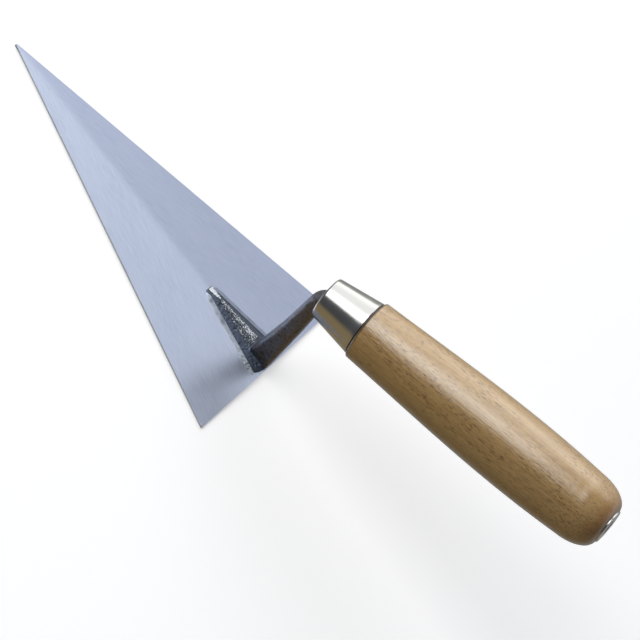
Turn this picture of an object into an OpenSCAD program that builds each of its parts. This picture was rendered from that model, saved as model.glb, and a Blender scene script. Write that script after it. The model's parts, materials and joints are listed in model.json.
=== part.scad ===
// Triangular pointing trowel: a forged shank welded to a ground blade, and a turned handle.
// Frame: origin on the underside of the blade, at the middle of its rear edge.
// +X runs back towards the butt of the handle, +Z up from the blade. All sizes in mm.

/* [Blade] */
// Length from the rear edge to the point where the two long edges meet
blade_length = 180; // [160:1:200]
// Width across the rear edge
blade_width = 106; // [96:1:116]
// Thickness along the edges
edge_t = 1.2; // [1:0.1:1.4]
// Extra thickness at the middle of the rear edge, where the two ground halves meet
ridge_rise = 1.6; // [1.3:0.1:1.7]
// Radius that breaks the three corners of the outline
corner_r = 0.6; // [0.4:0.1:0.8]

/* [Foot of the shank] */
// Length of the foot along the blade
foot_length = 43.5; // [40:0.5:46]
// Length of the bevel at the toe of the foot
toe_bevel = 4; // [3:0.5:5]
// Width of the foot across its toe
toe_w = 4.6; // [3:0.2:5]
// Width of the foot at the rear edge of the blade
heel_w = 23; // [20:0.2:24]
// Width of the hammered top of the foot, behind the toe's bevel
toe_top_w = 1.4; // [1:0.1:2]
// Height of the foot's top above the underside, behind the toe's bevel
toe_z = 3.8; // [3.7:0.1:4.2]
// Height of the foot's top above the underside, at the rear edge
heel_z = 4.2; // [4.2:0.1:5]
// Width of the weld bead on each side of the foot
bead_w = 2.8; // [2:0.1:3.2]
// Height of the weld bead where it meets the foot
bead_h = 0.7; // [0.5:0.1:0.9]

/* [Neck and tang] */
// Depth of the neck where it stands on the blade
neck_depth = 11.3; // [10.5:0.1:11.8]
// Depth of the neck half-way up
mid_depth = 8.8; // [8.2:0.1:9.6]
// Depth of the bar round the bend
bend_depth = 7.4; // [7:0.1:7.6]
// Width of the neck
neck_w = 10; // [9.4:0.1:10.4]
// Width of the bar round the bend
bend_w = 9; // [8.4:0.1:9]
// Radius on the long edges of the bar
bar_r = 1.8; // [1.2:0.1:2.2]
// Radius of the bend, to the middle of the bar
bend_r = 7.3; // [6.9:0.1:7.5]
// Lean of the neck away from the handle, from the vertical
neck_lean = 7; // [6:0.5:8]
// Side of the square tang just behind the bend
tang_front = 6.5; // [6:0.1:6.6]
// Side of the square tang at the butt
tang_rear = 4.4; // [4:0.1:4.6]

/* [Handle] */
// Angle of the handle's axis above the blade
handle_angle = 18.5; // [18:0.25:19]
// Distance of the seam between ferrule and wood behind the blade's rear edge
seam_x = 9; // [8.8:0.1:9.2]
// Height of the middle of that seam above the underside
seam_z = 63.6; // [63.2:0.1:64]
// Length of the wood behind the seam
wood_length = 133.4; // [128:0.2:138]
// Diameter of the wood at its front shoulder
shoulder_d = 28.8; // [28.2:0.1:29.4]
// Largest diameter of the wood
belly_d = 34.7; // [33.5:0.1:36]
// Distance of the largest diameter behind the seam
belly_at = 82; // [76:1:86]
// Diameter of the wood where the round-over of the butt begins
butt_d = 32.6; // [31:0.1:33]
// Length of the round-over at the butt
roundover = 15.4; // [13:0.2:17]

/* [Ferrule and butt washer] */
// Length of the ferrule
ferrule_length = 22.4; // [22:0.1:22.8]
// Outer diameter of the ferrule at the seam
ferrule_d = 26.7; // [26.4:0.1:27]
// Slope of the ferrule's side from its axis
ferrule_slope = 8.75; // [8.25:0.25:9]
// Radius of the ferrule's front edge
ferrule_edge_r = 1.7; // [1.4:0.1:2]
// Thickness of the ferrule's wall
ferrule_wall = 0.8; // [0.6:0.1:0.9]
// Diameter of the washer
washer_d = 16.4; // [15:0.1:17]
// Thickness of the washer
washer_t = 1.2; // [1:0.1:1.5]
// Depth of the washer's seat in the wood
washer_seat = 0.4; // [0.3:0.1:0.6]
// Diameter of the peened head that the tang ends in
peened_d = 7.4; // [6.8:0.1:8]

/* [Hidden] */
$fn = 96;

// Thickness of the slices that hull() joins, and the facets on their round corners
slab = 0.02;
slice_fn = 32;
// How much larger the neck and the tang are than the bend where they take it in
lap = 0.1;
// Clearances: between fitted pieces, round the shank, and between ferrule and wood
fit_gap = 0.05;
shank_gap = 0.3;
seam_gap = 0.35;
// Edge radius of the wood's front shoulder, and bevel on the rims of ferrule and washer
shoulder_r = 1.2;
rim_bevel = 0.25;
// Upright sides of the foot and of its toe, above the thin edge of the blade
foot_side = 1;
toe_side = 1.3;
// How far a bead reaches in under the foot, before the foot is cut out of it
bead_root = 1;
// How far a bead stops short of the foot's toe and heel
bead_end = 1;
// Straight part of the washer's hole, before the countersink that the tang is peened into
land = 0.3;
// How far cutting shapes overrun what they cut
overrun = 1;

half_apex = atan(blade_width / 2 / blade_length);
top_slope = atan(ridge_rise / (blade_width / 2 * cos(half_apex)));
big = 2 * blade_length;

// The neck's rear face stands just in front of the rear edge of the blade
neck_inset = 0.3;
neck_x = -neck_depth / 2 - neck_inset;
// The neck leans a little less in its lower half than in its upper half
mid_z = 30;
mid_lean = neck_lean - 0.4;
mid_x = neck_x - (mid_z - edge_t) * tan(mid_lean);
// Where the bend ends and where the square tang begins, along the handle's axis from the seam
bend_inside = 5;
bend_end = bend_inside - ferrule_length;
tang_start = -8;
along = [cos(handle_angle), sin(handle_angle)];
across = [-sin(handle_angle), cos(handle_angle)];
bend_centre = [seam_x, seam_z] + bend_end * along - bend_r * across;
neck_top = bend_centre - bend_r * [cos(neck_lean), sin(neck_lean)];

// Positions along the handle's axis from the seam: front of the wood, and the washer's two faces
nose_front = -ferrule_length + ferrule_wall + seam_gap;
washer_inner = wood_length - washer_seat;
washer_outer = washer_inner + washer_t;

// Height of the ground top of the blade above the underside
function blade_z(x, y) = edge_t
    + ((x + blade_length) * sin(half_apex) - abs(y) * cos(half_apex)) * tan(top_slope);

// Half width of the foot where it meets the blade
function foot_half(x) = (heel_w + (toe_w - heel_w) * -x / foot_length) / 2;

// Outer and inner radius of the ferrule at a distance from the seam
function ferrule_r(t) = ferrule_d / 2 + t * tan(ferrule_slope);
function ferrule_inner_r(t) = ferrule_r(t) - ferrule_wall / cos(ferrule_slope);

// Diameter of the wood: an S-shaped swell up to the belly, then a shallow fall to the round-over
function swell(u) = (1 + u - u * u) * u;
function fall(u) = u * u;
function wood_d(t) = t < belly_at
    ? shoulder_d + (belly_d - shoulder_d) * swell(t / belly_at)
    : belly_d - (belly_d - butt_d) * fall((t - belly_at) / (wood_length - roundover - belly_at));

// Distance from the middle of a rounded rectangle to the outside of its corners
function corner_reach(depth, width, r) = norm([depth, width] / 2 - [r, r]) + r;

// Points of an elliptical arc round a centre, from one angle to another
function arc(centre, rx, ry, from, to, steps) =
    [for (i = [0:steps])
        let (a = from + (to - from) * i / steps)
            centre + [rx * cos(a), ry * sin(a)]];

// Moves children from the handle's frame to the part's: Z along the axis from the seam, X down
module on_handle(t = 0) {
    translate([seam_x, 0, seam_z])
        rotate([0, 90 - handle_angle, 0])
            translate([0, 0, t])
                children();
}

// Section of the bar, depth along X and width along Y, with rounded corners
module bar_section(depth, width, r) {
    square([depth - 2 * r, width], center = true);
    square([depth, width - 2 * r], center = true);
    for (x = [-1, 1], y = [-1, 1])
        translate([x * (depth / 2 - r), y * (width / 2 - r)])
            circle(r);
}

module bar_slice(depth, width, r) {
    linear_extrude(slab, center = true)
        bar_section(depth, width, r, $fn = slice_fn);
}

// Slice of the neck, at a place in the XZ plane and leaning towards the point of the blade
module neck_slice(x, z, lean, depth, width) {
    translate([x, 0, z])
        rotate([0, -lean, 0])
            bar_slice(depth, width, bar_r);
}

// Outline of the blade, with its three corners rounded
module blade_outline() {
    tip = [-blade_length + corner_r / sin(half_apex), 0];
    heel_y = blade_width / 2 - corner_r / tan(45 - half_apex / 2);
    side = 90 + half_apex;
    polygon(concat(
        arc(tip, corner_r, corner_r, side, 360 - side, 6),
        arc([-corner_r, -heel_y], corner_r, corner_r, 360 - side, 360, 6),
        arc([-corner_r, heel_y], corner_r, corner_r, 0, side, 6)
    ));
}

// Everything above the ground plane that rises from the left long edge
module above_left_half() {
    translate([-blade_length, 0, edge_t])
        rotate([0, 0, -half_apex])
            rotate([top_slope, 0, 0])
                translate([-big / 2, -big / 2, 0])
                    cube([2 * big, 2 * big, big]);
}

module blade_body() {
    difference() {
        linear_extrude(edge_t + 2 * ridge_rise)
            blade_outline();
        above_left_half();
        mirror([0, 1, 0])
            above_left_half();
    }
}

// Cross slice of the foot: wide where it lies on the blade, narrow on top
module foot_slice(x, top_w, top_z) {
    half = foot_half(x);
    side_z = edge_t + foot_side;
    translate([x, 0, 0])
        rotate([90, 0, 90])
            linear_extrude(slab)
                polygon([
                    [-half, edge_t], [half, edge_t], [half, side_z],
                    [top_w / 2, top_z], [-top_w / 2, top_z], [-half, side_z]
                ]);
}

module foot() {
    hull() {
        foot_slice(-foot_length, toe_w / 2, edge_t + toe_side);
        foot_slice(-foot_length + toe_bevel, toe_top_w, toe_z);
        foot_slice(-slab, neck_w, heel_z);
    }
}

// The neck tapers upwards in two straight lengths
module neck() {
    hull() {
        neck_slice(neck_x, edge_t, 0, neck_depth, neck_w);
        neck_slice(mid_x, mid_z, mid_lean, mid_depth, neck_w);
    }
    hull() {
        neck_slice(mid_x, mid_z, mid_lean, mid_depth, neck_w);
        neck_slice(neck_top[0], neck_top[1], neck_lean, bend_depth + lap, bend_w + lap);
    }
}

// The bend turns the bar from the neck's lean on to the handle's axis
module bend() {
    translate([bend_centre[0], 0, bend_centre[1]])
        rotate([90, 0, 0])
            rotate([0, 0, 90 + handle_angle])
                rotate_extrude(angle = 90 + neck_lean - handle_angle)
                    translate([bend_r, 0])
                        bar_section(bend_depth, bend_w, bar_r);
}

// The tang tapers through the wood and is peened over in the washer
module tang() {
    end_r = tang_rear / 2;
    hull() {
        on_handle(bend_end)
            bar_slice(bend_depth + lap, bend_w + lap, bar_r);
        on_handle(tang_start)
            bar_slice(tang_front, tang_front, tang_front / 4);
    }
    hull() {
        on_handle(tang_start)
            bar_slice(tang_front, tang_front, tang_front / 4);
        on_handle(washer_inner)
            bar_slice(tang_rear, tang_rear, tang_rear / 4);
    }
    on_handle()
        rotate_extrude()
            polygon([
                [0, washer_inner - washer_t], [end_r, washer_inner - washer_t],
                [end_r, washer_inner + land], [peened_d / 2, washer_outer], [0, washer_outer]
            ]);
}

// Cross slice of a weld bead beside the foot: full height at the foot, running out on the blade
module bead_slice(x) {
    inner = foot_half(x) - bead_root;
    outer = foot_half(x) + bead_w;
    translate([x, 0, 0])
        rotate([90, 0, 90])
            linear_extrude(slab)
                polygon([
                    [inner, edge_t], [outer, edge_t], [outer, blade_z(x, outer)],
                    [inner, blade_z(x, inner) + bead_h]
                ]);
}

module right_bead() {
    difference() {
        hull() {
            bead_slice(-foot_length + bead_end);
            bead_slice(-bead_end);
        }
        blade_body();
        foot();
    }
}

module blade() {
    color("lightsteelblue")
        blade_body();
}

module shank() {
    color("dimgray")
        difference() {
            union() {
                foot();
                neck();
                bend();
                tang();
            }
            blade_body();
        }
}

module weld_left() {
    color("gainsboro")
        mirror([0, 1, 0])
            right_bead();
}

module weld_right() {
    color("gainsboro")
        right_bead();
}

// Drawn cone with a rounded front edge, open at the front for the bar and notched for the neck
module ferrule() {
    edge_at = ferrule_edge_r - ferrule_length;
    edge_centre = [ferrule_r(edge_at) - ferrule_edge_r / cos(ferrule_slope), edge_at];
    hole_r = corner_reach(bend_depth, bend_w, bar_r) + fit_gap;
    inner_edge_r = ferrule_edge_r - ferrule_wall;
    rear = -seam_gap;
    notch_w = bend_w + 2 * shank_gap;
    color("silver")
        on_handle()
            difference() {
                rotate_extrude()
                    polygon(concat(
                        [[hole_r, -ferrule_length]],
                        arc(edge_centre, ferrule_edge_r, ferrule_edge_r, -90, -ferrule_slope, 12),
                        [[ferrule_r(rear - rim_bevel), rear - rim_bevel]],
                        [[ferrule_r(rear) - rim_bevel, rear]],
                        [[ferrule_inner_r(rear), rear]],
                        arc(edge_centre, inner_edge_r, inner_edge_r, -ferrule_slope, -90, 6),
                        [[hole_r, ferrule_wall - ferrule_length]]
                    ));
                translate([0, -notch_w / 2, -ferrule_length - overrun])
                    cube([ferrule_d, notch_w, ferrule_edge_r + 2 * overrun]);
            }
}

// Turned wood: a nose inside the ferrule, the shoulder, the belly and the rounded butt
module handle_body() {
    belly_step = 6;
    swell_end = wood_length - roundover;
    seat_r = washer_d / 2 + fit_gap;
    nose_bevel = 1;
    rotate_extrude()
        polygon(concat(
            [[0, nose_front], [ferrule_inner_r(nose_front) - fit_gap - nose_bevel, nose_front]],
            [[ferrule_inner_r(nose_front + nose_bevel) - fit_gap, nose_front + nose_bevel]],
            [[ferrule_inner_r(0) - fit_gap, 0]],
            arc([shoulder_d / 2 - shoulder_r, shoulder_r], shoulder_r, shoulder_r, -90, 0, 8),
            [for (t = [belly_step:belly_step:swell_end - belly_step / 2]) [wood_d(t) / 2, t]],
            arc([seat_r, swell_end], butt_d / 2 - seat_r, roundover, 0, 90, 16),
            [[seat_r, washer_inner], [0, washer_inner]]
        ));
}

// Room for the shank in the wood: a bore that narrows with the tang, and a mouth for the bend
module shank_room() {
    front = nose_front - overrun;
    front_r = corner_reach(bend_depth + lap, bend_w + lap, bar_r) + fit_gap;
    middle_r = corner_reach(tang_front, tang_front, tang_front / 4) + shank_gap;
    rear_r = corner_reach(tang_rear, tang_rear, tang_rear / 4) + shank_gap;
    mouth_top = bend_depth / 2 + shank_gap;
    mouth_w = bend_w + 2 * shank_gap;
    rotate_extrude()
        polygon([
            [0, front], [front_r, front], [front_r, bend_end], [middle_r, tang_start],
            [rear_r, washer_inner], [rear_r, washer_outer], [0, washer_outer]
        ]);
    translate([-mouth_top, -mouth_w / 2, front])
        cube([mouth_top + ferrule_d, mouth_w, bend_end - front + overrun]);
}

module handle() {
    color("burlywood")
        on_handle()
            difference() {
                handle_body();
                shank_room();
            }
}

module butt_washer() {
    hole_r = tang_rear / 2 + fit_gap;
    color("silver")
        on_handle()
            rotate_extrude()
                polygon([
                    [hole_r, washer_inner], [washer_d / 2, washer_inner],
                    [washer_d / 2, washer_outer - rim_bevel],
                    [washer_d / 2 - rim_bevel, washer_outer],
                    [peened_d / 2 + fit_gap, washer_outer], [hole_r, washer_inner + land]
                ]);
}

blade();
shank();
weld_left();
weld_right();
ferrule();
handle();
butt_washer();
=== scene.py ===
"""Looks of the triangular pointing trowel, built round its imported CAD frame.

Units are metres. +X runs back to the butt, +Z up, and the blade's underside lies on z = 0.
"""
import json
import math

import bmesh
import bpy
from mathutils import Matrix, Vector, noise


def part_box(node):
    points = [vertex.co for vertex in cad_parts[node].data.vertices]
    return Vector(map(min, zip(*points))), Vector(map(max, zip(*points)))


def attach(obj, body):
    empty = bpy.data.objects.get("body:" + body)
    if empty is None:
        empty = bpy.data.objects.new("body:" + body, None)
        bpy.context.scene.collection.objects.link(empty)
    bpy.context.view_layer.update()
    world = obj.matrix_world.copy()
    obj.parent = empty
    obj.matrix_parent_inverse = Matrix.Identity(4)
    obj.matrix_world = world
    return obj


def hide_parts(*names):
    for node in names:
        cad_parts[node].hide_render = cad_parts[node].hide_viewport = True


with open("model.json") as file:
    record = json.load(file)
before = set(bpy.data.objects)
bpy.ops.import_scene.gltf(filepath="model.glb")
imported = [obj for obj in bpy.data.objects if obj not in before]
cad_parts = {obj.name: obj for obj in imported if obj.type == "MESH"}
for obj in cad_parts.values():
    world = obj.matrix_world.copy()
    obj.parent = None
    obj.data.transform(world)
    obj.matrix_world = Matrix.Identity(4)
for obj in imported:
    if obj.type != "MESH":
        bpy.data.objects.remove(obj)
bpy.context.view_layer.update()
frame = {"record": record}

MM = 0.001

# ---------------------------------------------------------------- the frame's own places

BLADE_LOW, BLADE_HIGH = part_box("blade")
BLADE_THICK = BLADE_HIGH.z
MOUNTS = {mount["name"]: mount for mount in frame["record"]["mounts"]}
AXIS = Vector(MOUNTS["butt_face"]["axis"]).normalized()
BUTT = Vector(MOUNTS["butt_face"]["pos_m"])
BUTT.y = 0.0

# ---------------------------------------------------------------- sizes

# The outline, the neck's path, the handle and the ferrule's cone are the CAD model's. The toe's
# bevel, the beads, the bar's section and the seam are refined, inside the CAD's own box.

BLADE_LENGTH = 180 * MM
BLADE_WIDTH = 106 * MM
EDGE_THICK = 1.2 * MM
CORNER_R = 0.6 * MM
HALF_APEX = math.atan(BLADE_WIDTH / 2 / BLADE_LENGTH)
TOP_SLOPE = (BLADE_THICK - EDGE_THICK) / (BLADE_LENGTH * math.sin(HALF_APEX))

FOOT_LENGTH = 43.5 * MM
TOE_BEVEL = 5.5 * MM
TOE_HALF = 2.3 * MM
HEEL_HALF = 11.5 * MM
TOE_TOP_HALF = 0.7 * MM
HEEL_TOP_HALF = 5.2 * MM
BEAD_WIDTH = 2.2 * MM
BEAD_HEIGHT = 0.6 * MM

NECK_LEAN = math.radians(7)
NECK_FOOT_X = -5.95 * MM
NECK_MID = Vector((-9.28, 0, 30)) * MM
# Depth and width of the bar in mm, at the foot, half-way up, below the bend and round it
BAR_FOOT, BAR_MID, BAR_TOP, BAR_BEND = (11.2, 10), (8.6, 9.7), (7.1, 8.4), (7.0, 8.4)
BAR_CORNER_FOOT, BAR_CORNER = 1.0, 2.5
BEND_R = 7.3 * MM
BEND_END = -17.4 * MM
TANG_START = -8 * MM
TANG_FRONT = 6.5 * MM
TANG_REAR = 4.4 * MM

BUTT_FROM_SEAM = 134.2 * MM
WOOD_LENGTH = 133.4 * MM
SHOULDER_R = 14.4 * MM
BELLY_R = 17.35 * MM
BELLY_AT = 82 * MM
BUTT_R = 16.3 * MM
ROUNDOVER = 15.4 * MM
FERRULE_LENGTH = 22.4 * MM
FERRULE_R = 13.35 * MM
FERRULE_SLOPE = math.radians(8.75)
FERRULE_EDGE = 1.2 * MM
FERRULE_WALL = 0.8 * MM
# Half the ferrule's mouth across the tool and upwards, and its reach into the corners
MOUTH_ACROSS, MOUTH_UP, MOUTH_CORNER = 3.6 * MM, 4.3 * MM, 4.75 * MM
SEAM_GAP = 0.45 * MM
WASHER_R = 8.2 * MM
WASHER_INNER = 133.0 * MM
PEENED_R = 3.7 * MM

SEAM = BUTT - AXIS * BUTT_FROM_SEAM
# The handle's own frame: Z along its axis from the seam, X across the tool, Y upwards
HANDLE_FRAME = Matrix.Translation(SEAM) @ AXIS.to_track_quat("Z", "Y").to_matrix().to_4x4()


def blade_top(x, y):
    """Height of the ground top of the blade."""
    rise = (x + BLADE_LENGTH) * math.sin(HALF_APEX) - abs(y) * math.cos(HALF_APEX)
    return EDGE_THICK + rise * TOP_SLOPE


def foot_half(x):
    """Half width of the shank's foot where it lies on the blade."""
    return HEEL_HALF + (TOE_HALF - HEEL_HALF) * -x / FOOT_LENGTH


def foot_top_half(x):
    """Half width of the foot's hammered top."""
    return mix(TOE_TOP_HALF, HEEL_TOP_HALF, max(1 + x / (FOOT_LENGTH - TOE_BEVEL), 0))


def smooth(low, high, value):
    """0 below low, 1 above high, and a smooth step between them."""
    share = min(max((value - low) / (high - low), 0.0), 1.0)
    return share * share * (3 - 2 * share)


def mix(a, b, share):
    """The value a given share of the way from a to b."""
    return a + (b - a) * share


# ---------------------------------------------------------------- mesh helpers


def make_object(name, mesh, material, replaced, matrix=None):
    """Links a finished mesh as a piece that rides on the part's one body."""
    if matrix is not None:
        mesh.transform(matrix)
    piece = bpy.data.objects.new(name, mesh)
    bpy.context.scene.collection.objects.link(piece)
    mesh.materials.clear()
    mesh.materials.append(material)
    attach(piece, "root")
    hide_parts(replaced)


def mesh_from_bmesh(name, bm, smooth_shading=True):
    """Turns a bmesh into a mesh with its normals outwards, and frees it."""
    bmesh.ops.recalc_face_normals(bm, faces=bm.faces)
    mesh = bpy.data.meshes.new(name)
    bm.to_mesh(mesh)
    bm.free()
    mesh.polygons.foreach_set("use_smooth", [smooth_shading] * len(mesh.polygons))
    return mesh


def add_rings(bm, rings, closed=False):
    """Skins a list of rings of points. Open ends are capped, or the last ring joins the first."""
    made = [[bm.verts.new(point) for point in ring] for ring in rings]
    count = len(made[0])
    pairs = list(zip(made, made[1:]))
    if closed:
        pairs.append((made[-1], made[0]))
    for lower, upper in pairs:
        for i in range(count):
            j = (i + 1) % count
            bm.faces.new((lower[i], lower[j], upper[j], upper[i]))
    if not closed:
        bm.faces.new(made[0][::-1])
        bm.faces.new(made[-1])


def turned(profile, segments, radius_of=None):
    """Copies of a profile of (radius, distance along the axis) points, all round the axis."""
    rings = []
    for step in range(segments):
        angle = 2 * math.pi * step / segments
        ring = []
        for radius, along in profile:
            r = radius_of(radius, along, angle) if radius_of else radius
            ring.append(Vector((r * math.cos(angle), r * math.sin(angle), along)))
        rings.append(ring)
    return rings


def arc(centre, rx, ry, start, end, steps):
    """Points (radius, along) of an elliptical arc, with its angles in degrees."""
    points = []
    for step in range(steps + 1):
        angle = math.radians(start + (end - start) * step / steps)
        points.append((centre[0] + rx * math.cos(angle), centre[1] + ry * math.sin(angle)))
    return points


def straight(a, b, steps):
    """Points from a to b, without b."""
    return [(mix(a[0], b[0], k / steps), mix(a[1], b[1], k / steps)) for k in range(steps)]


def wobble(point, scale, seed=0.0):
    """Smooth noise between about -1 and 1. scale is the size of its features."""
    return noise.noise(Vector(point) / scale + Vector((seed, 2 * seed, 3 * seed)))


# ---------------------------------------------------------------- shader helpers


class Shader:
    """A material's node tree, written as nested calls that return sockets."""

    def __init__(self, name):
        self.material = bpy.data.materials.new(name)
        self.material.use_nodes = True
        self.tree = self.material.node_tree
        self.surface = self.tree.nodes["Principled BSDF"]

    def node(self, kind, settings=None, **inputs):
        """A new node, with its properties from settings and its sockets from the keywords."""
        made = self.tree.nodes.new("ShaderNode" + kind)
        for key, value in (settings or {}).items():
            setattr(made, key, value)
        for key, value in inputs.items():
            self.put(made, key.replace("_", " "), value)
        return made

    def put(self, node, socket, value):
        """Sets a socket, given by name or number, to a value or to another node's output."""
        name = int(socket) if socket.isdigit() else socket
        if isinstance(value, bpy.types.NodeSocket):
            self.tree.links.new(value, node.inputs[name])
        else:
            node.inputs[name].default_value = value

    def set(self, **inputs):
        """Sets sockets of the Principled BSDF."""
        for key, value in inputs.items():
            self.put(self.surface, key.replace("_", " "), value)

    def stretched(self, source, scale):
        """A texture coordinate, scaled along each of its axes."""
        return self.node("Mapping", None, Vector=source, Scale=scale).outputs["Vector"]

    def in_handle(self):
        """Texture coordinates in metres with Z along the handle."""
        place = self.node("TexCoord").outputs["Object"]
        turn = tuple(HANDLE_FRAME.inverted().to_euler())
        return self.node("Mapping", None, Vector=place, Rotation=turn).outputs["Vector"]

    def noise(self, vector, scale, detail=2.0, rough=0.5, distortion=0.0):
        made = self.node("TexNoise", None, Vector=vector, Scale=scale, Detail=detail,
                         Roughness=rough, Distortion=distortion)
        return made.outputs["Fac"]

    def remap(self, value, low, high, to_low=0.0, to_high=1.0):
        """A clamped linear step of value from low to high."""
        made = self.node("MapRange", None, Value=value)
        for key, number in (("From Min", low), ("From Max", high),
                            ("To Min", to_low), ("To Max", to_high)):
            made.inputs[key].default_value = number
        return made.outputs["Result"]

    def blend(self, factor, a, b):
        """Colour a where the factor is 0 and b where it is 1."""
        made = self.node("Mix", {"data_type": "RGBA"})
        for key, value in {"0": factor, "6": a, "7": b}.items():
            self.put(made, key, value)
        return made.outputs[2]

    def calc(self, a, b, operation="ADD"):
        made = self.node("Math", {"operation": operation})
        self.put(made, "0", a)
        self.put(made, "1", b)
        return made.outputs[0]

    def bump(self, height, distance, strength=1.0):
        made = self.node("Bump", None, Height=height, Distance=distance, Strength=strength)
        return made.outputs["Normal"]


def rgb(red, green, blue):
    """A colour from screen values of 0 to 255."""
    linear = []
    for part in (red, green, blue):
        c = part / 255
        linear.append(c / 12.92 if c <= 0.04045 else ((c + 0.055) / 1.055) ** 2.4)
    return (*linear, 1.0)


# ---------------------------------------------------------------- materials


def ground_steel():
    """Satin steel with fine grinding lines along the length of each half of the blade."""
    s = Shader("ground_steel")
    uv = s.node("UVMap", {"uv_map": "brush"}).outputs["UV"]
    fine = s.noise(s.stretched(uv, (5000, 220, 1)), 1.0, 3.0, 0.6)
    broad = s.noise(s.stretched(uv, (1900, 110, 1)), 1.0, 2.0)
    cloud = s.noise(s.stretched(uv, (60, 25, 1)), 1.0, 3.0)
    lines = s.calc(s.calc(fine, 0.45, "MULTIPLY"), s.calc(broad, 0.55, "MULTIPLY"))
    tone = s.blend(s.remap(cloud, 0.35, 0.65), (0.53, 0.59, 0.74, 1), (0.58, 0.64, 0.79, 1))
    tone = s.blend(s.remap(lines, 0.38, 0.64), tone, (0.66, 0.72, 0.86, 1))
    # The half on the +Y side carries painted shade: it is darkened and tinted violet, since the
    # light falls on it differently
    place = s.node("TexCoord").outputs["Object"]
    across = s.node("SeparateXYZ", None, Vector=place).outputs["Y"]
    wander = s.remap(cloud, 0.3, 0.7, -1.5 * MM, 1.5 * MM)
    painted_shade_half = s.remap(s.calc(across, wander), -2.5 * MM, 2.5 * MM, 0, 0.16)
    tone = s.blend(painted_shade_half, tone, (0.12, 0.16, 0.36, 1))
    s.set(Base_Color=tone, Metallic=0.7, Roughness=s.remap(lines, 0.38, 0.64, 0.34, 0.42))
    s.set(Anisotropic=0.7)
    tangent = s.node("Tangent", {"direction_type": "UV_MAP", "uv_map": "brush"})
    s.set(Tangent=tangent.outputs["Tangent"], Normal=s.bump(lines, 0.00003, 0.6))
    return s.material


def forged_steel():
    """Scaled steel. The mesh's worn_and_glints attribute is 0 on plain scale, about a half where
    the top is hammered and flecked with near-white metal, partly wear and partly painted glints,
    and over 1 where it is near-white all over, as on the toe's bevel, which is a painted
    highlight."""
    s = Shader("forged_steel")
    place = s.node("TexCoord").outputs["Object"]
    worn_and_glints = s.node("Attribute", {"attribute_name": "worn_and_glints"}).outputs["Fac"]
    corner_sheen = s.node("Attribute", {"attribute_name": "corner_sheen"}).outputs["Fac"]
    cloud = s.noise(place, 180, 4.0, 0.6)
    grit = s.noise(place, 900, 3.0, 0.6)
    dents = s.noise(place, 2000, 1.5, 0.6)
    height = s.node("SeparateXYZ", None, Vector=place).outputs["Z"]
    on_neck = s.remap(height, 4.5 * MM, 5.5 * MM)
    scale = s.blend(s.remap(cloud, 0.35, 0.65), rgb(120, 108, 97), rgb(120, 122, 130))
    # Painted highlight: a lighter blue-grey on the neck's front corners
    scale = s.blend(s.calc(corner_sheen, s.remap(cloud, 0.3, 0.7, 0.4, 1), "MULTIPLY"),
                    scale, rgb(158, 166, 180))
    scale = s.blend(s.remap(grit, 0.36, 0.43, 0.6, 0), scale, rgb(58, 55, 56))
    scale = s.blend(s.remap(grit, 0.58, 0.66, 0, 0.4), scale, rgb(164, 164, 168))
    scale = s.blend(on_neck, rgb(86, 95, 111), scale)
    scale = s.blend(s.remap(worn_and_glints, 0.1, 0.35), scale, rgb(72, 78, 88))
    # Near-white flecks: partly metal showing through the scale, partly painted glints
    bare_and_glint = s.remap(s.calc(dents, s.calc(worn_and_glints, 0.5, "MULTIPLY")), 0.84, 0.92)
    s.set(Base_Color=s.blend(bare_and_glint, scale, rgb(240, 244, 250)), Metallic=0.85)
    s.set(Roughness=s.remap(cloud, 0.3, 0.7, 0.3, 0.42))
    rough = s.calc(dents, s.remap(worn_and_glints, 0.1, 0.5, 0.1, 1.6), "MULTIPLY")
    s.set(Normal=s.bump(s.calc(s.calc(cloud, grit), rough), 0.0004, 0.8))
    return s.material


def weld_steel(name, metal):
    """Weld metal with dark pits near the heel."""
    s = Shader(name)
    place = s.node("TexCoord").outputs["Object"]
    along = s.node("SeparateXYZ", None, Vector=place).outputs["X"]
    near_heel = s.remap(along, -18 * MM, -6 * MM)
    pits = s.noise(place, 800, 3.0, 0.6)
    depth = s.calc(s.remap(pits, 0.40, 0.47, 0.8, 0), near_heel, "MULTIPLY")
    cloud = s.noise(place, 300, 3.0)
    depth = s.calc(depth, s.remap(cloud, 0.5, 0.75, 0, 0.5))
    s.set(Base_Color=s.blend(depth, metal, rgb(50, 56, 66)), Metallic=0.7)
    s.set(Roughness=s.remap(pits, 0.3, 0.6, 0.36, 0.28))
    s.set(Normal=s.bump(s.calc(pits, near_heel, "MULTIPLY"), 0.0003, 0.6))
    return s.material


def bright_plate():
    """Polished plate with the faint rings and scuffs that polishing leaves."""
    s = Shader("bright_plate")
    place = s.in_handle()
    rings = s.noise(s.stretched(place, (40, 40, 2500)), 1.0, 2.0)
    haze = s.noise(place, 120, 3.0)
    s.set(Base_Color=s.blend(haze, rgb(198, 197, 192), rgb(208, 207, 204)), Metallic=1.0)
    s.set(Roughness=s.remap(haze, 0.3, 0.7, 0.2, 0.26))
    s.set(Normal=s.bump(rings, 0.00001, 0.3))
    return s.material


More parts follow.
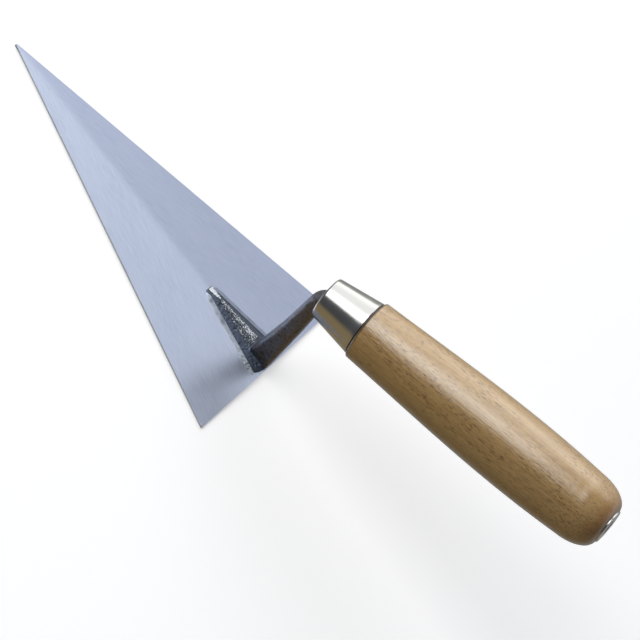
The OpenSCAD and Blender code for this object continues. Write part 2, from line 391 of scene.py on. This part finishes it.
def beech():
    """Lacquered beech: long soft figure, and the short dark dashes of its rays and pores."""
    s = Shader("beech")
    place = s.in_handle()
    bend = s.noise(s.stretched(place, (25, 25, 6)), 1.0, 2.0)
    figure = s.noise(s.stretched(place, (260, 260, 9)), 1.0, 4.0, 0.55, 0.6)
    streak = s.noise(s.stretched(place, (1400, 1400, 40)), 1.0, 2.0)
    dashes = s.noise(s.stretched(place, (4200, 4200, 330)), 1.0, 1.0, 0.5)
    crowd = s.noise(s.stretched(place, (120, 120, 30)), 1.0, 1.0)
    wood = s.blend(s.remap(figure, 0.3, 0.7), rgb(214, 168, 98), rgb(238, 203, 142))
    wood = s.blend(s.remap(bend, 0.35, 0.65, 0, 0.5), wood, rgb(214, 172, 108))
    wood = s.blend(s.remap(streak, 0.42, 0.66, 0, 0.5), wood, rgb(180, 136, 76))
    dark = s.calc(s.remap(dashes, 0.59, 0.65), s.remap(crowd, 0.4, 0.6, 0.3, 1), "MULTIPLY")
    wood = s.blend(dark, wood, rgb(108, 66, 26))
    # Darker in a narrow ring just behind the ferrule, and a deeper orange over the last 9 mm to
    # the butt
    along = s.node("SeparateXYZ", None, Vector=place).outputs["Z"]
    seam = SEAM.dot(AXIS)
    butt = seam + WOOD_LENGTH
    seam_ring = s.remap(along, seam + 0.6 * MM, seam + 1.3 * MM, 0.85, 0)
    wood = s.blend(seam_ring, wood, rgb(52, 34, 18))
    butt_tint = s.remap(along, butt - 9 * MM, butt, 0, 0.6)
    wood = s.blend(butt_tint, wood, rgb(172, 108, 44))
    s.set(Base_Color=wood, Roughness=s.remap(figure, 0.3, 0.7, 0.42, 0.5))
    s.set(Coat_Weight=1.0, Coat_Roughness=0.13, Coat_IOR=1.85)
    grain = s.bump(s.calc(streak, dashes, "SUBTRACT"), 0.00012, 0.6)
    s.set(Normal=grain, Coat_Normal=grain)
    return s.material


def pale_floor():
    """Plain pale floor, seen only from above so that the underside can be looked at."""
    s = Shader("pale_floor")
    s.set(Base_Color=(0.9, 0.9, 0.9, 1), Roughness=0.9)
    s.set(Emission_Color=(1, 1, 1, 1), Emission_Strength=0.42)
    back = s.node("NewGeometry").outputs["Backfacing"]
    clear = s.node("BsdfTransparent").outputs["BSDF"]
    chosen = s.node("MixShader")
    for key, value in {"0": back, "1": s.surface.outputs["BSDF"], "2": clear}.items():
        s.put(chosen, key, value)
    s.put(s.tree.nodes["Material Output"], "Surface", chosen.outputs["Shader"])
    return s.material


# ---------------------------------------------------------------- blade


def blade_half_width(x):
    """Half width of the outline at x, with its point and its rear corners rounded."""
    plain = (x + BLADE_LENGTH) * math.tan(HALF_APEX)
    tip = -BLADE_LENGTH + CORNER_R / math.sin(HALF_APEX)
    if x < tip:
        return min(plain, math.sqrt(max(CORNER_R ** 2 - (tip - x) ** 2, 0)))
    past = x + CORNER_R
    if past > -CORNER_R * math.sin(HALF_APEX):
        centre = BLADE_WIDTH / 2 - CORNER_R / math.tan(math.radians(45) - HALF_APEX / 2)
        return centre + math.sqrt(max(CORNER_R ** 2 - past ** 2, 0))
    return plain


def blade_section(x):
    """Closed cross section at x: flat below, relieved edges, and the two ground halves."""
    ridge_soft = 1.0 * MM
    across = 14
    half = max(blade_half_width(x), 0.2 * MM)
    relief = min(0.6 * MM, half / 3)
    broken = min(0.25 * MM, half / 3)

    def top(y):
        return blade_top(x, math.hypot(y, ridge_soft))

    right = [(half, relief), (half, EDGE_THICK - broken)]
    for k in range(across):
        y = (half - broken) * (1 - k / across) ** 1.6
        right.append((y, top(y)))
    left = [(-y, z) for y, z in right[::-1]]
    flat = [(relief - half, 0), (half - relief, 0)]
    return [Vector((x, y, z)) for y, z in [*right, (0, top(0)), *left, *flat]]


def brush_uv(mesh):
    """UV in metres: V along the grinding lines of each half of the blade, U across them."""
    layer = mesh.uv_layers.new(name="brush")
    for face in mesh.polygons:
        turn = math.copysign(HALF_APEX, face.center.y)
        across = Vector((-math.sin(turn), math.cos(turn)))
        along = Vector((math.cos(turn), math.sin(turn)))
        for loop in face.loop_indices:
            point = mesh.vertices[mesh.loops[loop].vertex_index].co.xy
            layer.data[loop].uv = (point.dot(across) + turn, point.dot(along))


def build_blade(material):
    """The blade, lofted from its tip to its rear edge with close stations round the corners."""
    tip = BLADE_LOW.x
    near_tip = [tip + CORNER_R * (0.02 + k / 6) for k in range(10)]
    middle = [mix(tip + 2 * CORNER_R, -2 * CORNER_R, k / 60) for k in range(1, 61)]
    rear = [-CORNER_R * (1 - math.sin(math.radians(15 * k))) for k in range(-1, 7)]
    bm = bmesh.new()
    add_rings(bm, [blade_section(x) for x in [*near_tip, *middle, *rear]])
    mesh = mesh_from_bmesh("blade_ground", bm)
    mesh.set_sharp_from_angle(angle=math.radians(25))
    brush_uv(mesh)
    make_object("blade_ground", mesh, material, "blade")


# ---------------------------------------------------------------- shank


def bar_ring(centre, along, depth, width, corner):
    """Rounded rectangular section of the bar: depth in the XZ plane, width along Y."""
    side = Vector((0, 1, 0))
    front = side.cross(along).normalized()
    steps = 5
    ring = []
    for quarter, (sx, sy) in enumerate(((1, 1), (-1, 1), (-1, -1), (1, -1))):
        for k in range(steps):
            angle = math.radians(90 * quarter + 90 * k / (steps - 1))
            x = sx * (depth / 2 - corner) + corner * math.cos(angle)
            y = sy * (width / 2 - corner) + corner * math.sin(angle)
            ring.append(centre + front * x + side * y)
    return ring


def shank_spine():
    """Stations up the neck, round the bend and along the tang: centre, direction, depth, width."""
    axis = Vector((AXIS.x, 0, AXIS.z))
    up = Vector((-axis.z, 0, axis.x))
    pivot = SEAM + axis * BEND_END - up * BEND_R
    lean = Vector((-math.sin(NECK_LEAN), 0, math.cos(NECK_LEAN)))
    outward = Vector((-math.cos(NECK_LEAN), 0, -math.sin(NECK_LEAN)))
    neck_top = pivot + outward * BEND_R
    foot = Vector((NECK_FOOT_X, 0, EDGE_THICK))
    stations = []
    # The neck leans more as it rises, and tapers towards the bend
    steps = 8
    for low, high, first, last in ((foot, NECK_MID, BAR_FOOT, BAR_MID),
                                   (NECK_MID, neck_top, BAR_MID, BAR_TOP)):
        for k in range(steps):
            share = k / steps
            along = (high - low).normalized().lerp(lean, 0.5 * share).normalized()
            depth, width = (mix(a, b, share) * MM for a, b in zip(first, last))
            stations.append((low.lerp(high, share), along, depth, width))
    bend_steps = 14
    start, end = math.atan2(outward.z, outward.x), math.atan2(up.z, up.x)
    start = start + 2 * math.pi if start < 0 else start
    for k in range(bend_steps + 1):
        angle = mix(start, end, k / bend_steps)
        outwards = Vector((math.cos(angle), 0, math.sin(angle)))
        along = Vector((outwards.z, 0, -outwards.x))
        stations.append((pivot + outwards * BEND_R, along, BAR_BEND[0] * MM, BAR_BEND[1] * MM))
    stations.append((SEAM + axis * TANG_START, axis, TANG_FRONT, TANG_FRONT))
    stations.append((SEAM + axis * WASHER_INNER, axis, TANG_REAR, TANG_REAR))
    return stations


def foot_rings():
    """Cross sections of the foot: a low wedge with sloping flanks and a narrow top."""
    heel = -1.2 * MM
    heel_r = 4.5 * MM
    toe_rise, heel_rise = 0.35, 1.6
    blunt_toe = 1.7 * MM
    weld_step = 0.2 * MM
    stations = 40
    rings = []
    for k in range(stations + 1):
        x = mix(-FOOT_LENGTH, heel, k / stations)
        half = foot_half(x)
        past = x - (heel - heel_r)
        if past > 0:
            half -= heel_r - math.sqrt(max(heel_r ** 2 - past ** 2, 0))
        bevel = min((x + FOOT_LENGTH) / TOE_BEVEL, 1)
        rise = mix(toe_rise, heel_rise, bevel) * MM
        top_half = max(foot_top_half(x), mix(blunt_toe, 0, bevel))
        base = blade_top(x, 0)
        section = [(half, EDGE_THICK), (half, blade_top(x, half) + weld_step),
                   (top_half, base + rise), (0, base + rise + 0.1 * MM)]
        mirrored = [(-y, z) for y, z in section[-2::-1]]
        rings.append([Vector((x, y, z)) for y, z in section + mirrored])
    return rings


def peened_head_rings():
    """The end of the tang, spread into the washer's countersink and hammered nearly flush."""
    profile = [(2.2 * MM, WASHER_INNER - 2 * MM), (2.2 * MM, WASHER_INNER + 0.3 * MM),
               (PEENED_R, BUTT_FROM_SEAM - 0.12 * MM), (PEENED_R - 0.4 * MM, BUTT_FROM_SEAM)]
    rings = []
    for radius, along in profile:
        ring = []
        for step in range(32):
            angle = 2 * math.pi * step / 32
            local = Vector((radius * math.cos(angle), radius * math.sin(angle), along))
            ring.append(HANDLE_FRAME @ local)
        rings.append(ring)
    return rings


def voxel_union(name, ring_lists, voxel):
    """One closed skin round several overlapping closed lofts."""
    bm = bmesh.new()
    for rings in ring_lists:
        add_rings(bm, rings)
    rough = bpy.data.objects.new(name, mesh_from_bmesh(name, bm, False))
    bpy.context.scene.collection.objects.link(rough)
    remesh = rough.modifiers.new("skin", "REMESH")
    remesh.mode = "VOXEL"
    remesh.voxel_size = voxel
    soften = rough.modifiers.new("soften", "SMOOTH")
    soften.factor = 0.5
    soften.iterations = 2
    evaluated = rough.evaluated_get(bpy.context.evaluated_depsgraph_get())
    skin = bpy.data.meshes.new_from_object(evaluated)
    bpy.data.objects.remove(rough)
    skin.name = name
    return skin


def forge(mesh):
    """Hammers the foot's top, pits the scale, and marks near-white flecks that are partly wear and
    partly painted glints, a painted highlight on the toe's bevel and one on the neck's front
    corners.
    """
    worn_and_glints = mesh.attributes.new("worn_and_glints", "FLOAT", "POINT")
    corner_sheen = mesh.attributes.new("corner_sheen", "FLOAT", "POINT")
    normals = [v.normal.copy() for v in mesh.vertices]
    for vertex, normal in zip(mesh.vertices, normals):
        p = vertex.co
        if p.x > SEAM.x:
            continue
        # Where the point is: on the low foot, on its level top, in the bevel of its toe
        above = p.z - blade_top(p.x, 0)
        on_foot = 1 - smooth(2.2 * MM, 5 * MM, above)
        upward = smooth(0.948, 0.978, normal.z) * on_foot
        edge = TOE_BEVEL - FOOT_LENGTH + 0.8 * MM * wobble(p, 2 * MM, 30)
        toe = 1 - smooth(edge - 0.3 * MM, edge + 0.3 * MM, p.x)
        # How far it moves along its normal, in millimetres
        hammered = (wobble(p, 1.1 * MM) + 0.6 * wobble(p, 0.55 * MM, 3)) * (1 - 0.8 * toe)
        skin = 0.5 * wobble(p, 3.5 * MM, 7) + 0.35 * wobble(p, 1.3 * MM, 9)
        pit = smooth(0.42, 0.62, wobble(p, 1.5 * MM, 12))
        move = 0.16 * hammered * upward + 0.11 * skin - 0.2 * pit * (1 - upward)
        vertex.co = p + normal * move * MM
        # Near-white flecks, partly metal showing through the scale and partly painted glints,
        # thicken
        #         # towards +Y and on the near edge, and the toe's bevel gets a painted highlight
        half = foot_top_half(p.x)
        fleck = 0.42 + 0.34 * smooth(-1.0, 0.8, p.y / half) + 0.12 * wobble(p, 3 * MM, 20)
        fleck += 0.3 * max(1 - abs(p.y + half) / (0.5 * MM), 0)
        facet = smooth(-1.0, -0.6, p.y / MM + 0.5 * wobble(p, 1 * MM, 40))
        # Painted highlight: the toe's bevel, facing the light, is made near-white
        painted_toe_highlight = 1.3 * toe * facet * smooth(0.85, 0.94, normal.z)
        worn_and_glints.data[vertex.index].value = max(fleck * upward, painted_toe_highlight)
        # Painted highlight: the neck's front corners, which face the light, are lightened
        corner = smooth(0.12, 0.6, -normal.x) * smooth(0.1, 0.5, abs(normal.y))
        corner_sheen.data[vertex.index].value = 0.8 * corner * (1 - on_foot)


def build_shank(material):
    """One forging: the bar with its tang, the foot and the peened end, skinned together."""
    voxel = 0.4 * MM
    tang_corners = [1.6 * MM, 1.1 * MM]
    spine = shank_spine()
    growing = [min(k / 6, 1) for k in range(len(spine) - len(tang_corners))]
    corners = [mix(BAR_CORNER_FOOT, BAR_CORNER, share) * MM for share in growing] + tang_corners
    bar = [bar_ring(c, a, d, w, r) for (c, a, d, w), r in zip(spine, corners)]
    mesh = voxel_union("shank_forged", [bar, foot_rings(), peened_head_rings()], voxel)
    forge(mesh)
    mesh.polygons.foreach_set("use_smooth", [True] * len(mesh.polygons))
    make_object("shank_forged", mesh, material, "shank")


# ---------------------------------------------------------------- weld beads


def build_bead(name, side, material):
    """A rippled bead along one side of the foot: side is -1 for the left and 1 for the right."""
    start, end = -FOOT_LENGTH + 1 * MM, -2.5 * MM
    stations = 150
    arc_steps = 10
    rings = []
    for k in range(stations + 1):
        share = k / stations
        x = mix(start, end, share)
        ends = math.sqrt(max(1 - (2 * share - 1) ** 16, 0.02))
        inner = foot_half(x) - 0.7 * MM
        waver = 0.85 + 0.15 * wobble((x, 0, 0), 4 * MM, side)
        outer = foot_half(x) + BEAD_WIDTH * ends * waver
        rough = 0.35 + 0.65 * smooth(-18 * MM, -8 * MM, x)
        ring = []
        for j in range(arc_steps + 1):
            share_in = j / arc_steps
            y = mix(outer, inner, share_in)
            z = blade_top(x, y) + BEAD_HEIGHT * ends * share_in ** 1.4 - 0.02 * MM
            bump = 0.14 * rough * wobble((x / 1.6, y, 0), 1.0 * MM, 5 + side)
            ring.append(Vector((x, side * y, z + bump * math.sin(math.pi * share_in) * MM)))
        ring.append(Vector((x, side * inner, EDGE_THICK)))
        ring.insert(0, Vector((x, side * outer, EDGE_THICK)))
        rings.append(ring)
    bm = bmesh.new()
    add_rings(bm, rings)
    mesh = mesh_from_bmesh(name, bm)
    mesh.set_sharp_from_angle(angle=math.radians(50))
    node = "weld_left" if side < 0 else "weld_right"
    make_object(name, mesh, material, node)


# ---------------------------------------------------------------- ferrule, handle and washer


def ferrule_r(along):
    """Outer radius of the ferrule's cone."""
    return FERRULE_R + along * math.tan(FERRULE_SLOPE)


def build_ferrule(material):
    """Drawn cone: a rounded front edge, a rolled rear rim, and a mouth that closes on the bar."""
    front = -FERRULE_LENGTH
    edge_at = front + FERRULE_EDGE
    slope = math.degrees(FERRULE_SLOPE)
    centre = (ferrule_r(edge_at) - FERRULE_EDGE / math.cos(FERRULE_SLOPE), edge_at)
    rim = 0.3 * MM
    wall = FERRULE_WALL / math.cos(FERRULE_SLOPE)
    rear = -SEAM_GAP
    mouth = 1 * MM
    shoulder = arc(centre, FERRULE_EDGE, FERRULE_EDGE, -90, -slope, 14)
    inner_edge = FERRULE_EDGE - FERRULE_WALL
    profile = [(mouth, front), *straight((centre[0] - 1 * MM, front), shoulder[0], 2), *shoulder]
    profile += straight(shoulder[-1], (ferrule_r(rear - rim), rear - rim), 12)[1:]
    profile += arc((ferrule_r(rear) - rim, rear - rim), rim, rim, 0, 90, 6)
    profile += [(ferrule_r(rear) - wall, rear)]
    profile += arc(centre, inner_edge, inner_edge, -slope, -90, 6)
    profile += [(mouth, front + FERRULE_WALL)]

    def shaped(radius, along, angle):
        """The mouth is a blunt rectangle that closes on the bar, and the rest stays round."""
        if radius > mouth * 1.01:
            return radius
        sideways = MOUTH_ACROSS / max(abs(math.cos(angle)), 1e-6)
        upwards = MOUTH_UP / max(abs(math.sin(angle)), 1e-6)
        return min(sideways, upwards, MOUTH_CORNER)

    bm = bmesh.new()
    add_rings(bm, turned(profile, 144, radius_of=shaped), closed=True)
    mesh = mesh_from_bmesh("ferrule_drawn", bm)
    mesh.set_sharp_from_angle(angle=math.radians(40))
    make_object("ferrule_drawn", mesh, material, "ferrule", HANDLE_FRAME)


def wood_r(along):
    """Radius of the wood: an S-shaped swell up to the belly, then a shallow fall."""
    if along < BELLY_AT:
        u = along / BELLY_AT
        return mix(SHOULDER_R, BELLY_R, u * (1 + u - u * u))
    u = (along - BELLY_AT) / (WOOD_LENGTH - ROUNDOVER - BELLY_AT)
    return mix(BELLY_R, BUTT_R, u * u)


def build_handle(material):
    """The wood: the spigot inside the ferrule, the swelling grip, the butt and the bore."""
    nose = -FERRULE_LENGTH + FERRULE_WALL + 0.6 * MM
    wall = FERRULE_WALL / math.cos(FERRULE_SLOPE) + 0.05 * MM
    shoulder = 1.2 * MM
    swell_end = WOOD_LENGTH - ROUNDOVER
    seat = WASHER_R + 0.12 * MM
    seat_edge = 0.25 * MM
    bore_front, bore_rear = 5.2 * MM, 3.0 * MM
    profile = [(bore_front, nose), (ferrule_r(nose) - wall - 1 * MM, nose),
               (ferrule_r(nose + MM) - wall, nose + MM), (ferrule_r(0) - wall, 0)]
    profile += arc((SHOULDER_R - shoulder, shoulder), shoulder, shoulder, -90, 0, 8)
    body = [mix(shoulder, swell_end, k / 90) for k in range(1, 90)]
    profile += [(wood_r(along), along) for along in body]
    profile += arc((seat, swell_end), BUTT_R - seat, ROUNDOVER, 0, 84, 28)
    profile += [(seat + seat_edge, WOOD_LENGTH), (seat, WOOD_LENGTH - seat_edge)]
    profile += [(seat, WASHER_INNER), (bore_rear, WASHER_INNER), (4.2 * MM, TANG_START)]

    def uneven(radius, along, angle):
        """Sanding leaves a hand-turned grip very slightly out of round."""
        if along < shoulder or radius < seat + seat_edge:
            return radius
        out = wobble((math.cos(angle), math.sin(angle), along / (30 * MM)), 1.0, 4)
        return radius + (0.06 * out - 0.06) * MM

    bm = bmesh.new()
    add_rings(bm, turned(profile, 160, radius_of=uneven), closed=True)
    mesh = mesh_from_bmesh("handle_turned", bm)
    mesh.set_sharp_from_angle(angle=math.radians(40))
    make_object("handle_turned", mesh, material, "handle", HANDLE_FRAME)


def build_washer(material):
    """The washer: a rounded rim, a faint dish and a countersink for the peened end."""
    hole = 2.25 * MM
    rim = 0.25 * MM
    outer = BUTT_FROM_SEAM
    rim_at = outer - rim - 0.1 * MM
    profile = [(hole, WASHER_INNER), (WASHER_R, WASHER_INNER), (WASHER_R, rim_at)]
    profile += arc((WASHER_R - rim, rim_at), rim, rim, 0, 90, 6)
    profile += [(WASHER_R - 1.2 * MM, outer), (PEENED_R + 0.1 * MM, outer),
                (hole, WASHER_INNER + 0.3 * MM)]
    bm = bmesh.new()
    add_rings(bm, turned(profile, 96), closed=True)
    mesh = mesh_from_bmesh("washer_pressed", bm)
    mesh.set_sharp_from_angle(angle=math.radians(35))
    make_object("washer_pressed", mesh, material, "butt_washer", HANDLE_FRAME)


# ---------------------------------------------------------------- stage


def add_camera():
    """A long lens from in front and above, rolled so that the tool lies across the picture."""
    data = bpy.data.cameras.new("camera")
    data.sensor_width = 36
    data.lens = 281.25
    data.clip_start, data.clip_end = 0.1, 50
    camera = bpy.data.objects.new("camera", data)
    bpy.context.scene.collection.objects.link(camera)
    place = Vector((-0.17908, -1.50552, 1.57195))
    ahead = Vector((0.08086, 0.69978, -0.70976)).normalized()
    image_up = Vector((-0.78837, 0.48061, 0.38404))
    right = ahead.cross(image_up).normalized()
    up = right.cross(ahead)
    turn = Matrix((right, up, -ahead)).transposed()
    camera.matrix_world = Matrix.Translation(place) @ turn.to_4x4()
    bpy.context.scene.camera = camera


def add_softbox(name, place, across, size, radiance, colour=(1, 1, 1)):
    """A rectangular softbox that faces the tool. across is the direction of its first side."""
    data = bpy.data.lights.new(name, "AREA")
    data.shape = "RECTANGLE"
    data.size, data.size_y = size
    data.energy = radiance * math.pi * size[0] * size[1]
    data.color = colour
    away = Vector(place).normalized()
    first = (Vector(across) - away * away.dot(Vector(across))).normalized()
    second = away.cross(first)
    light = bpy.data.objects.new(name, data)
    turn = Matrix((first, second, away)).transposed()
    light.matrix_world = Matrix.Translation(place) @ turn.to_4x4()
    light.visible_camera = False
    bpy.context.scene.collection.objects.link(light)


def add_room():
    """Surroundings: a brown bench and a dark room on the near side, a pale wall behind."""
    world = bpy.data.worlds.new("room")
    bpy.context.scene.world = world
    world.use_nodes = True
    tree = world.node_tree
    background = tree.nodes["Background"]
    direction = tree.nodes.new("ShaderNodeTexCoord")
    split = tree.nodes.new("ShaderNodeSeparateXYZ")
    tree.links.new(direction.outputs["Generated"], split.inputs["Vector"])
    bench, dark, ceiling = (0.29, 0.225, 0.125), (0.075, 0.078, 0.088), (0.10, 0.115, 0.15)
    table, wall = (0.34, 0.34, 0.33), (0.74, 0.74, 0.73)
    # Colours by height, from straight down at 0 to straight up at 1
    near = ((0.35, bench), (0.43, dark), (0.80, dark), (0.93, ceiling))
    behind = ((0.485, table), (0.60, wall), (0.67, wall), (0.80, ceiling))
    height = tree.nodes.new("ShaderNodeMapRange")
    height.inputs["From Min"].default_value = -1
    tree.links.new(split.outputs["Z"], height.inputs["Value"])
    sides = []
    for stops in (near, behind):
        ramp = tree.nodes.new("ShaderNodeValToRGB")
        elements = ramp.color_ramp.elements
        for element, (at, colour) in zip((elements[0], elements[1]), (stops[0], stops[-1])):
            element.position, element.color = at, (*colour, 1)
        for at, colour in stops[1:-1]:
            elements.new(at).color = (*colour, 1)
        tree.links.new(height.outputs["Result"], ramp.inputs["Fac"])
        sides.append(ramp.outputs["Color"])
    depth = tree.nodes.new("ShaderNodeMapRange")
    depth.interpolation_type = "SMOOTHSTEP"
    depth.inputs["From Min"].default_value = -0.1
    depth.inputs["From Max"].default_value = 0.45
    tree.links.new(split.outputs["Y"], depth.inputs["Value"])
    both = tree.nodes.new("ShaderNodeMix")
    both.data_type = "RGBA"
    tree.links.new(depth.outputs["Result"], both.inputs[0])
    tree.links.new(sides[0], both.inputs[6])
    tree.links.new(sides[1], both.inputs[7])
    tree.links.new(both.outputs[2], background.inputs["Color"])
    # The room fills the shadows less than its reflections alone would suggest
    ray = tree.nodes.new("ShaderNodeLightPath")
    fill = tree.nodes.new("ShaderNodeMapRange")
    fill.inputs["To Min"].default_value, fill.inputs["To Max"].default_value = 1.0, 0.5
    tree.links.new(ray.outputs["Is Diffuse Ray"], fill.inputs["Value"])
    tree.links.new(fill.outputs["Result"], background.inputs["Strength"])


def add_floor(material):
    """A flat floor just under the blade, wide enough to fill the picture at low angles."""
    reach = 12.0
    bm = bmesh.new()
    signs = ((-1, -1), (1, -1), (1, 1), (-1, 1))
    bm.faces.new([bm.verts.new((x * reach, y * reach, 0)) for x, y in signs])
    mesh = mesh_from_bmesh("floor", bm, False)
    floor = bpy.data.objects.new("floor", mesh)
    mesh.materials.append(material)
    bpy.context.scene.collection.objects.link(floor)
    floor.location.z = -0.05 * MM
    # The tool mirrors the room and the bench, not the bright floor under it
    floor.visible_glossy = False
    floor.visible_diffuse = False


# ---------------------------------------------------------------- the whole scene

bpy.context.scene.view_settings.view_transform = "Standard"

add_camera()
add_room()
add_floor(pale_floor())
window_wall = (0.03, 1, -0.137)
add_softbox("window_near", (-1.006, -0.553, 1.46), window_wall, (1.05, 1.25), 3.2)
add_softbox("window_far", (-0.89, 0.85, 1.215), window_wall, (2.5, 1.2), 1.25)
add_softbox("sky", (0.0, 1.1, 1.43), (1, 0, 0), (1.4, 1.0), 0.98, (0.95, 0.97, 1.0))

plate = bright_plate()
build_blade(ground_steel())
build_shank(forged_steel())
# One weld metal in two copies: near-white on the near -Y side, and darker and bluer as painted
# shade on the far +Y side
build_bead("bead_left", -1, weld_steel("weld_lit_copy", rgb(220, 228, 240)))
build_bead("bead_right", 1, weld_steel("weld_shaded_copy", rgb(150, 160, 180)))
build_ferrule(plate)
build_handle(beech())
build_washer(plate)
